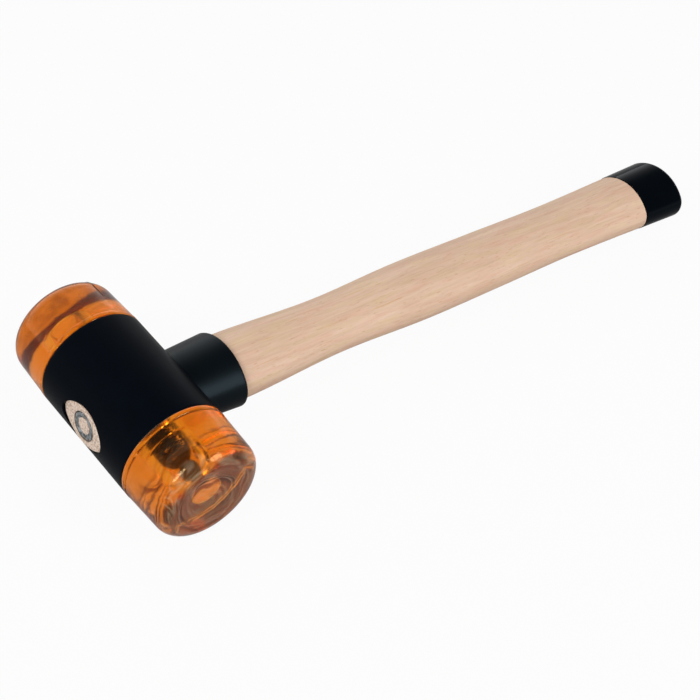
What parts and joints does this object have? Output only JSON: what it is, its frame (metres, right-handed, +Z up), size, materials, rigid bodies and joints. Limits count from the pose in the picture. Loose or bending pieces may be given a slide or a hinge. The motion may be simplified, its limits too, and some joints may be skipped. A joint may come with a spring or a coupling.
{
  "type": "soft face hammer",
  "caption": "Soft face hammer with a round black steel head, screw-on transparent amber plastic faces and an oval ash handle with a sleeve at the head and a capped butt.",
  "frame": {"origin": "Middle of the hammer's box, on the surface that it lies on.", "axes": "+X runs along the handle from the head to the butt, +Y runs along the head towards the back face, and +Z is up from the bench that the hammer lies on."},
  "size_m": [0.3592, 0.1136, 0.05],
  "materials": {
    "head_black": "satin black coating on a steel bar",
    "sleeve_black": "satin black coating on a steel sleeve",
    "amber_plastic": "polished transparent amber cellulose plastic",
    "stud_steel": "threaded steel, dark",
    "ash_wood": "sanded ash with a thin clear lacquer",
    "wedge_steel": "raw grey steel",
    "cap_black": "glossy black"
  },
  "bodies": {
    "hammer": {"head_body": "head_black", "handle_sleeve": "sleeve_black", "handle": "ash_wood", "ring_wedge": "wedge_steel", "end_cap": "cap_black"},
    "front_stud": {"front_stud": "stud_steel"},
    "front_face": {"front_face": "amber_plastic"},
    "back_stud": {"back_stud": "stud_steel"},
    "back_face": {"back_face": "amber_plastic"}
  },
  "joints": [
    {"name": "front_face_turn", "type": "hinge", "parent": "hammer", "child": "front_stud", "pos_m": [-0.15455, -0.0295, 0.025], "axis": [0, -1, 0], "range_deg": [0, 1080]},
    {"name": "front_face_travel", "type": "slide", "parent": "front_stud", "child": "front_face", "axis": [0, -1, 0], "range_m": [0, 0.006]},
    {"name": "back_face_turn", "type": "hinge", "parent": "hammer", "child": "back_stud", "pos_m": [-0.15455, 0.0295, 0.025], "axis": [0, 1, 0], "range_deg": [0, 1080]},
    {"name": "back_face_travel", "type": "slide", "parent": "back_stud", "child": "back_face", "axis": [0, 1, 0], "range_m": [0, 0.006]}
  ],
  "couplings": [
    {"joint": "front_face_travel", "follows": "front_face_turn", "m_per_rad": 0.00031831},
    {"joint": "back_face_travel", "follows": "back_face_turn", "m_per_rad": 0.00031831}
  ]
}
